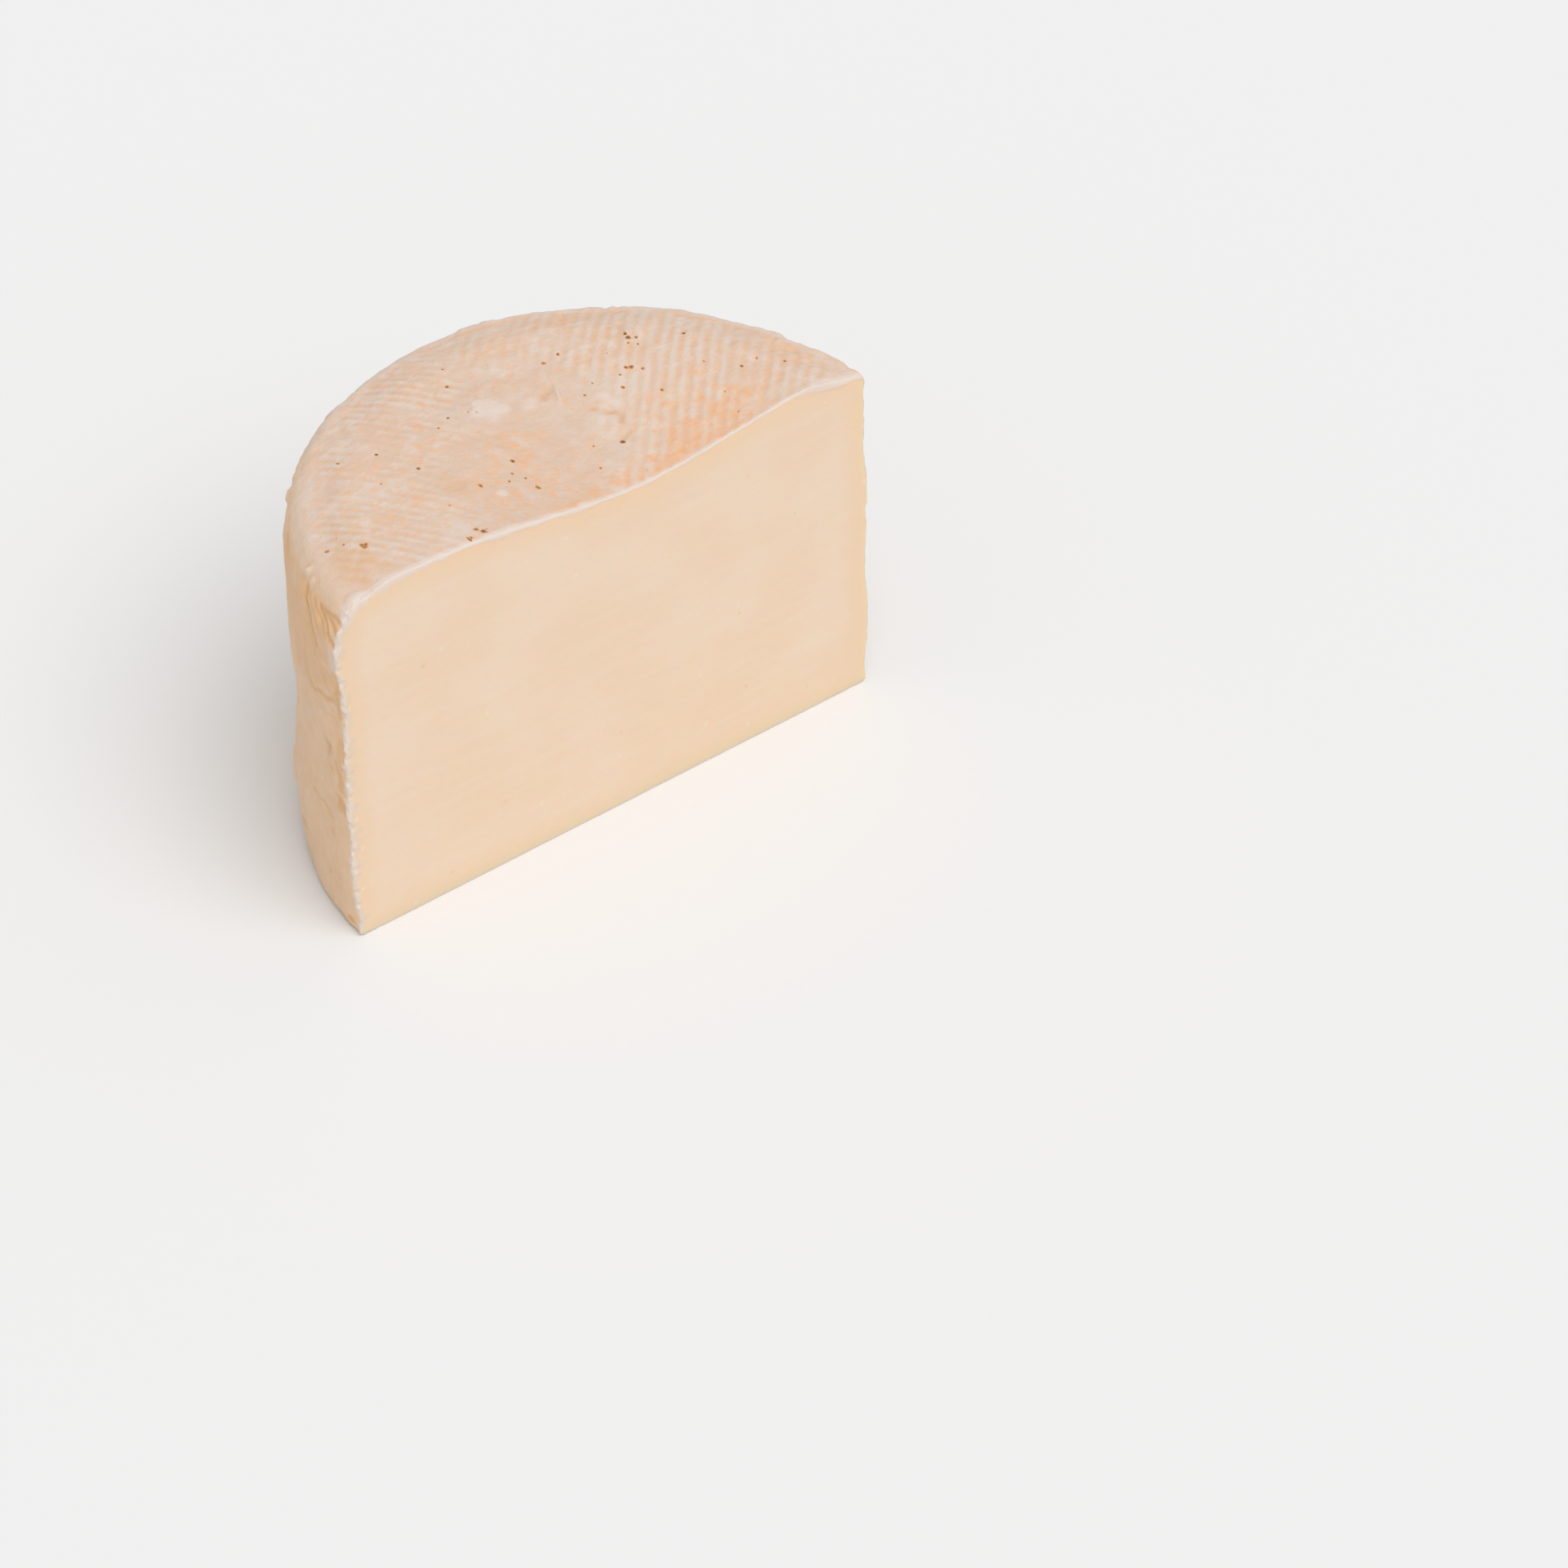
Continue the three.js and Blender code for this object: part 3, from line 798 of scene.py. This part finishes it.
# The rim of the cut: a soft edge, a thin pale lip, and the paste a little behind it
lip = {
    "topWidth": (1.15, 0.75), "sideWidth": (2.25, 0.4), "baseWidth": 0.3,    # left and right
    "topOnRind": (1.55, 1.0), "sideOnRind": 0.6, "shoulderExtra": 0.6, "rightEndExtra": 1.0,
    "round": 0.55, "sink": 0.12, "crumble": 0.38, "ragged": 0.2, "crumbly": 0.3,
    "gather": 3.0,    # rows nearer the rim than this are drawn towards it
    "foldAngle": math.radians(98),
}


def gathered(distance):
    share = np.clip(distance / lip["gather"], 0, 1)
    return distance * between(0.45, 1.0, share)


def cutFace(piece, outline):
    points, x, y, z = splitPoints(piece)
    normals = readArray(piece.data.vertices, "normal", 3)
    onCut = pointsOnCut(piece)
    inward = np.full(len(points), 50.0)
    inwardWay = np.zeros((len(points), 2))
    inward[onCut], inwardWay[onCut] = outlineDistance(x[onCut], z[onCut], outline)
    outOfFace = normals * (1, 0, 1)
    outOfFace /= np.maximum(np.linalg.norm(outOfFace, axis=1), 1e-6)[:, None]
    rimOnly = inward < 0.05
    aboveBase = softStep(z, 0.5, 2.5)
    alongCut = np.stack([inwardWay[:, 0], np.zeros(len(points)), inwardWay[:, 1]], 1)
    alongCut = np.where(rimOnly[:, None], -outOfFace, alongCut)

    closeRind = ~onCut & (z > 0.02) & (y < lip["gather"])
    closeCut = onCut & (inward < lip["gather"])
    points[:, 1] = np.where(closeRind, gathered(y), y)
    points += np.where(closeCut, gathered(inward) - inward, 0.0)[:, None] * alongCut
    inward = np.where(closeCut, gathered(inward), inward)
    fromEdge = np.where(onCut, inward, points[:, 1])

    radius = (lip["round"] + 0.2 * softNoise(points, 6.0, 121)) * aboveBase + 0.1
    bend = math.pi / 4 * (1 - np.clip(fromEdge / radius, 0, 1))
    near = fromEdge < radius
    sink = np.where(near, radius * (1 - np.cos(bend)), 0.0)
    newFromEdge = np.where(near, radius * (1 - np.sin(bend)), fromEdge)
    isRind = ~onCut & (z > 0.02) & near
    points += np.where(onCut, newFromEdge - fromEdge, 0.0)[:, None] * alongCut
    points -= np.where(isRind, sink, 0.0)[:, None] * outOfFace
    points[:, 1] = np.where(isRind, newFromEdge, points[:, 1])

    onSideEdge = softStep(np.abs(x), 73.0, 77.0) * (1 - softStep(z, 98.0, 103.0))
    rightShare = softStep(x, -30.0, 25.0)
    atShoulder = bell((x + 74.0) / 6.0) * softStep(z, 95.0, 99.0) * lip["shoulderExtra"]
    atShoulder += bell((x - 68.0) / 8.0) * softStep(z, 95.0, 99.0) * lip["rightEndExtra"]
    sideWidth = between(*lip["sideWidth"], rightShare)
    width = between(between(*lip["topWidth"], rightShare) + atShoulder, sideWidth, onSideEdge)
    width = between(lip["baseWidth"], width, softStep(z, 1.0, 4.0))
    ragged = 0.3 * softNoise(points, 3.0, 123) + 0.32 * softNoise(points, 1.2, 124) * onSideEdge
    paste = softStep(inward + ragged * width, width - 0.25, width + 0.25)
    undulation = 0.06 + 0.05 * softNoise(points, 26.0, 126)
    crumbs = lip["crumble"] * np.clip(roughNoise(points, 1.5, 127), 0, 1) * (1 - paste)
    crumbs = crumbs * between(0.15, 1.0, np.maximum(onSideEdge, softStep(-x, 66.0, 74.0)))
    depth = np.where(onCut, sink + paste * (lip["sink"] + undulation) + crumbs, 0.0)
    points[:, 1] = np.where(onCut, depth, points[:, 1])

    jag = lip["ragged"] * (0.6 * softNoise(points, 2.4, 128) + 0.6 * softNoise(points, 6.0, 129))
    jag = jag * between(0.5, 1.3, onSideEdge)
    crumbly = np.maximum(onSideEdge, softStep(-x, 62.0, 72.0)) * (1 - rightShare)
    jag = jag + lip["crumbly"] * (roughNoise(points, 1.4, 131) - 0.2) * crumbly
    jag = jag * (1 - softStep(fromEdge, 0.3, 2.2)) * aboveBase
    jagWay = np.where(onCut[:, None], -alongCut, outOfFace)
    points += np.where(fromEdge < 2.2, jag, 0.0)[:, None] * jagWay
    points[:, 1:] = np.maximum(points[:, 1:], 0.0)
    writePoints(piece, points)
    storeShare(piece, "inward", np.minimum(inward, 40.0))
    storeShare(piece, "paste", np.where(onCut, paste, 0.0))
    onRind = between(between(*lip["topOnRind"], rightShare) + atShoulder, lip["sideOnRind"], onSideEdge)
    onRind = onRind + between(0.3, 0.6, onSideEdge) * softNoise(points, 2.2, 130)
    whiteness = aboveBase * between(1.0, 0.85, rightShare) * (1 - 0.7 * rightShare * onSideEdge)
    storeShare(piece, "lip", (1 - softStep(fromEdge, onRind - 0.4, onRind + 0.6)) * whiteness)


def calmFolds(piece):
    # smooths the few points of the rim where faces have folded over
    for _ in range(4):
        selectEdges(piece, lambda edge: edge.calc_face_angle(0.0) > lip["foldAngle"])
        bpy.ops.mesh.vertices_smooth(factor=0.5)
        setMode("OBJECT")


def keepInBox(piece):
    points = readPoints(piece)
    for axis, low, high in zip(range(3), cheeseLow, cheeseHigh):
        limits = (np.array([low, high]) - axisPlace[axis]) / mm
        points[:, axis] = np.clip(points[:, axis], *limits)
    writePoints(piece, points)


# Material helpers: all work on the tree of the material in hand
tree = None


def startMaterial(name):
    # returns the material and its shader's inputs
    global tree
    material = bpy.data.materials.new(name)
    material.use_nodes = True
    tree = material.node_tree
    return material, tree.nodes["Principled BSDF"].inputs


def feed(value, socket):
    # a number, a colour or vector, or another node's output
    if isinstance(value, (int, float)):
        socket.default_value = value
    elif isinstance(value, tuple):
        socket.default_value = value if socket.type == "VECTOR" else (*value, 1.0)
    else:
        tree.links.new(value, socket)


def feedAll(inputs, values):
    for name, value in values.items():
        feed(value, inputs[name])


def addNode(kind, output, values, **settings):
    node = tree.nodes.new("ShaderNode" + kind)
    for name, value in settings.items():
        setattr(node, name, value)
    feedAll(node.inputs, values)
    return node.outputs[output]


def stretched(place, scale, turn=(0, 0, 0)):
    return addNode("Mapping", "Vector", {"Vector": place, "Scale": scale, "Rotation": turn})


def placesOnPiece():
    # in millimetres
    return stretched(addNode("TexCoord", "Object", {}), (1 / mm, 1 / mm, 1 / mm))


def noise(place, size, detail=3.0, roughness=0.5, output="Fac"):
    inputs = {"Vector": place, "Scale": 1 / size, "Detail": detail, "Roughness": roughness}
    return addNode("TexNoise", output, inputs)


def warped(place, size, amount):
    # the same places, moved about by a noise
    inputs = {0: noise(place, size, output="Color"), 1: (amount, amount, amount), 2: place}
    return addNode("VectorMath", "Vector", inputs, operation="MULTIPLY_ADD")


def share(name):
    return addNode("Attribute", "Fac", {}, attribute_name=name)


def ramp(value, low, high, start=0.0, end=1.0):
    inputs = {"Value": value, "From Min": low, "From Max": high, "To Min": start, "To Max": end}
    return addNode("MapRange", "Result", inputs, interpolation_type="SMOOTHSTEP")


def sums(kind, first, second=0.0, third=0.0):
    return addNode("Math", "Value", {0: first, 1: second, 2: third}, operation=kind)


def times(*values):
    product = values[0]
    for value in values[1:]:
        product = sums("MULTIPLY", product, value)
    return product


def mixed(amount, first, second):
    return addNode("Mix", 2, {0: amount, 6: first, 7: second}, data_type="RGBA")


def layered(colour, palette, *layers):
    # lays colours of the palette one over another, each by its amount
    for amount, name in layers:
        colour = mixed(amount, colour, palette[name])
    return colour


def dots(place, spacing, radius, chance, kind="3D"):
    # round spots, one to a cell at most: the chance may be a socket
    inputs = {"Vector": place, "Scale": 1 / spacing}
    cell = addNode("TexVoronoi", "Color", inputs, voronoi_dimensions=kind)
    parts = addNode("SeparateColor", "Red", {"Color": cell}).node.outputs
    wanted = sums("LESS_THAN", parts["Red"], chance)
    size = sums("MULTIPLY_ADD", parts["Green"], radius / spacing, 0.4 * radius / spacing)
    inside = sums("DIVIDE", cell.node.outputs["Distance"], size)
    return times(ramp(inside, 0.1, 1.0, 1.0, 0.0), wanted)


def bump(height, distance, under=None):
    inputs = {"Height": height, "Distance": distance * mm}
    if under is not None:
        inputs["Normal"] = under
    return addNode("Bump", "Normal", inputs)


rindLook = {
    "cream": (0.705, 0.555, 0.45),
    "peach": (0.715, 0.505, 0.375),
    "crest": (0.705, 0.6, 0.53),
    "grooveTan": (0.715, 0.475, 0.32),
    "orange": (0.81, 0.45, 0.24),
    "rust": (0.81, 0.37, 0.16),
    "glow": (0.765, 0.485, 0.31),
    "bloom": (0.73, 0.63, 0.56),
    "film": (0.695, 0.59, 0.515),
    "worn": (0.63, 0.465, 0.36),
    "sideCream": (0.82, 0.585, 0.395),
    "sideTan": (0.775, 0.49, 0.28),
    "besideCut": (0.87, 0.61, 0.39),
    "ochre": (0.73, 0.4, 0.15),
    "lip": (0.75, 0.645, 0.58),
    # brown of seams and pleats, and the colour of painted shade in the dent and beside torn edges
    "seamBrownAndShade": (0.66, 0.4, 0.215),
    "speckHalo": (0.55, 0.23, 0.065),
    "speckBrown": (0.21, 0.105, 0.05),
}


def rindMaterial():
    material, shader = startMaterial("paleRind")
    place = placesOnPiece()
    orangeShare = share("orange")
    curly = warped(place, 2.0, 1.6)

    # the side: cream with tan clouds and faint upright streaks, warmer beside the cut
    clouds = noise(place, 9.0, detail=4.0, roughness=0.6)
    streaks = noise(stretched(warped(place, 9.0, 4.0), (1, 1, 0.14)), 1.2)
    dust = noise(curly, 9.0, detail=5.0, roughness=0.65)
    fromCut = addNode("SeparateXYZ", "Y", {"Vector": place})
    cutPlace = -cadDepth / 2 / mm
    sideColour = layered(
        rindLook["sideCream"], rindLook,
        (ramp(clouds, 0.35, 0.68, 0.15, 0.75), "sideTan"),
        (ramp(streaks, 0.42, 0.72, 0.0, 0.35), "sideTan"),
        (ramp(dust, 0.52, 0.72, 0.0, 0.4), "bloom"),
        (ramp(fromCut, cutPlace, cutPlace + 7.0, 0.6, 0.0), "besideCut"),
        (times(dots(curly, 6.0, 0.9, 0.35), 0.5), "ochre"),
    )

    # the top: cream and peach, paler on the crests and tan in the grooves
    acrossLeft, acrossRight = (0, 0, -ridges["leftDirection"]), (0, 0, -ridges["rightDirection"])
    alongLeft = stretched(place, (0.2, 1, 1), acrossLeft)
    alongRight = stretched(place, (0.2, 1, 1), acrossRight)
    strings = mixed(share("leftField"), noise(alongRight, 1.8), noise(alongLeft, 1.6))
    grooved = times(share("groove"), ramp(strings, 0.3, 0.6, 0.4, 1.0))
    crests = times(share("crest"), ramp(noise(place, 2.0), 0.3, 0.62, 0.65, 1.0))
    glow = ramp(noise(place, 6.0), 0.4, 0.62)
    films = noise(place, 5.0, detail=5.0, roughness=0.62)
    wiped = noise(stretched(place, (0.09, 1, 1), acrossRight), 1.1)
    sheets = noise(curly, 7.0, detail=4.0, roughness=0.6)
    film = times(share("film"), ramp(sheets, 0.36, 0.58, 0.25, 0.85), ramp(wiped, 0.35, 0.7, 0.55, 1.0))
    blots = sums("MULTIPLY_ADD", grooved, 0.05, noise(curly, 2.8, roughness=0.55))
    over = sums("SUBTRACT", blots, sums("MULTIPLY_ADD", orangeShare, -0.185, 0.642))
    freckles = dots(curly, 4.0, 1.2, sums("MULTIPLY_ADD", orangeShare, 0.45, 0.12))
    topColour = layered(
        rindLook["cream"], rindLook,
        (ramp(noise(place, 13.0), 0.36, 0.62), "peach"),
        (grooved, "grooveTan"),
        (times(crests, 0.8), "crest"),
        (times(glow, sums("MULTIPLY_ADD", orangeShare, 0.6, 0.2)), "glow"),
        (ramp(films, 0.48, 0.7, 0.0, 0.6), "bloom"),
        (ramp(strings, 0.52, 0.75, 0.0, 0.35), "bloom"),
        (film, "film"),
        (times(share("worn"), 0.3), "worn"),
        (ramp(over, -0.08, 0.15, 0.0, 0.54), "orange"),
        (ramp(over, 0.08, 0.26, 0.0, 0.4), "rust"),
        (times(freckles, 0.75), "orange"),
    )
    colour = layered(
        mixed(share("top"), sideColour, topColour), rindLook,
        (times(share("rimLine"), 0.6), "orange"),
        (share("ochre"), "ochre"),
        # pale skin and crumbs, and painted highlight along the shoulder
        (times(share("paleAndHighlight"), 0.7), "bloom"),
        # brown seams and pleats, with painted shade in the dent and beside torn edges
        (times(share("seam"), 0.8), "seamBrownAndShade"),
        (times(share("lip"), 0.9), "lip"),
        (ramp(share("speck"), 0.05, 0.5), "speckHalo"),
        (ramp(share("speck"), 0.45, 0.8), "speckBrown"),
    )
    grain = noise(place, 1.0, detail=4.0, roughness=0.6)
    wrinkles = noise(stretched(place, (1, 1, 0.5)), 2.4, detail=4.0, roughness=0.6)
    feedAll(shader, {
        "Base Color": colour,
        "Roughness": ramp(films, 0.3, 0.7, 0.5, 0.68),
        "Subsurface Weight": 0.2,
        "Subsurface Radius": (1.0, 0.5, 0.25),
        "Subsurface Scale": 2.0 * mm,
        "Normal": bump(grain, 0.14, bump(wrinkles, 0.35)),
    })
    return material


pasteLook = {
    "ivory": (0.825, 0.645, 0.485),
    "warm": (0.82, 0.625, 0.455),
    "nearRind": (0.82, 0.61, 0.405),
    "edge": (0.755, 0.645, 0.57),
    "warmEdge": (0.74, 0.605, 0.475),
    # painted shade for the turned rim of the cut, where the rounding catches the light
    "paintedEdgeShade": (0.69, 0.595, 0.53),
    "fleck": (0.8, 0.52, 0.22),
    "paleFleck": (0.85, 0.74, 0.58),
}


def pasteMaterial():
    material, shader = startMaterial("ivoryPaste")
    place = placesOnPiece()
    paste = share("paste")
    knife = noise(stretched(place, (0.1, 1, 1), (0, math.radians(-6), 0)), 2.5)
    clouds = noise(place, 30.0, detail=2.0)
    flat = stretched(warped(place, 1.5, 1.0), (1, 1, 1), (math.pi / 2, 0, 0))
    colour = layered(
        pasteLook["ivory"], pasteLook,
        (ramp(clouds, 0.35, 0.65), "warm"),
        (ramp(knife, 0.42, 0.75, 0.0, 0.16), "paleFleck"),
        (ramp(share("inward"), 2.0, 9.0, 0.75, 0.0), "nearRind"),
        (times(dots(flat, 19.0, 0.75, 0.32, "2D"), 0.6), "fleck"),
        (times(dots(flat, 13.0, 0.8, 0.3, "2D"), 0.6), "paleFleck"),
    )
    edge = layered(
        pasteLook["warmEdge"], pasteLook,
        (ramp(share("lip"), 0.0, 0.8), "edge"),
        (ramp(noise(place, 1.1), 0.4, 0.7, 0.1, 0.42), "nearRind"),
        (ramp(share("inward"), 0.15, 0.8, 0.75, 0.0), "paintedEdgeShade"),    # painted shade on the turned edge, keeping it from glaring
    )
    feedAll(shader, {
        "Base Color": mixed(paste, edge, colour),
        "Roughness": ramp(paste, 0.0, 1.0, 0.62, 0.42),
        "Subsurface Weight": ramp(paste, 0.0, 1.0, 0.1, 0.45),
        "Subsurface Radius": (1.0, 0.5, 0.22),
        "Subsurface Scale": 6.0 * mm,
        "Normal": bump(noise(place, 0.9), 0.05, bump(knife, 0.05)),
    })
    return material


def giveMaterials(piece):
    piece.data.materials.clear()
    piece.data.materials.append(rindMaterial())
    piece.data.materials.append(pasteMaterial())
    piece.data.polygons.foreach_set("material_index", facesOnCut(piece).astype(int))


cheese = buildWheel()
shapeWheel(cheese)
rimOutline = cutOutline(cheese)
thinHidden(cheese, rimOutline)
print("hidden faces thinned:", len(cheese.data.polygons), "faces")
for test in (dividedOnce, dividedTwice, dividedRoundSpecks):
    divideWhere(cheese, test, rimOutline)
    print(test.__name__ + ":", len(cheese.data.polygons), "faces")
ridgeTop(cheese)
addScraps(cheese)
markSpecks(cheese)
markOrange(cheese)
shapeSide(cheese)
roughenRind(cheese)
cutFace(cheese, cutOutline(cheese))
calmFolds(cheese)
keepInBox(cheese)
print("rind and cut shaped")
bpy.ops.object.shade_smooth_by_angle(angle=math.radians(60))
giveMaterials(cheese)
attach(cheese, "root")
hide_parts("half_wheel")
triangles = sum(len(face.vertices) - 2 for face in cheese.data.polygons)
print("cheese ready:", triangles, "triangles")

# Floor
studio = {
    "floorSize": 8.0,
    "floorColour": (0.8, 0.8, 0.8),
    "ambient": 0.6,
    "sunStrength": 1.78,
    "sunWidth": math.radians(50),
    "sunFrom": (0.0, -0.5, 0.866),
}
bpy.ops.mesh.primitive_plane_add(size=studio["floorSize"], location=(0, 0, 0))
floor = bpy.context.object
floor.name = "studioFloor"
floorMaterial, floorShader = startMaterial("paleFloor")
feedAll(floorShader, {"Base Color": studio["floorColour"], "Roughness": 0.9, "Specular IOR Level": 0.0})
floor.data.materials.append(floorMaterial)

# Light
world = bpy.data.worlds.new("softSky")
bpy.context.scene.world = world
world.use_nodes = True
feedAll(world.node_tree.nodes["Background"].inputs, {"Color": (1, 1, 1), "Strength": studio["ambient"]})
bpy.ops.object.light_add(type="SUN", location=(0.6, -0.8, 1.2))
sun = bpy.context.object
sun.name = "softKey"
sun.data.energy = studio["sunStrength"]
sun.data.angle = studio["sunWidth"]
sun.rotation_euler = Vector(studio["sunFrom"]).to_track_quat("Z", "Y").to_euler()

# Camera
view = {
    "turn": math.radians(-36.98),
    "down": math.radians(41.85),
    "roll": math.radians(-0.57),
    "shot": 6500.0,           # focal length in pixels of a 1920 pixel frame
    "frame": 1920.0,
    "scale": 4.793,           # pixels to a millimetre at the wheel's axis
    "axisPixel": (758.4, 986.8),
}
bpy.ops.object.camera_add()
camera = bpy.context.object
camera.name = "photoCamera"
camera.data.sensor_width = 36
camera.data.lens = view["shot"] / view["frame"] * camera.data.sensor_width
turned = (
    Matrix.Rotation(view["turn"], 4, "Z")
    @ Matrix.Rotation(math.pi / 2 - view["down"], 4, "X")
    @ Matrix.Rotation(view["roll"], 4, "Z")
)
toAxis = Vector((
    (view["axisPixel"][0] - view["frame"] / 2) / view["scale"],
    (view["frame"] / 2 - view["axisPixel"][1]) / view["scale"],
    -view["shot"] / view["scale"],
))
camera.matrix_world = Matrix.Translation(Vector(axisPlace) - (turned @ toAxis) * mm) @ turned
bpy.context.scene.camera = camera
bpy.context.scene.view_settings.view_transform = "Standard"
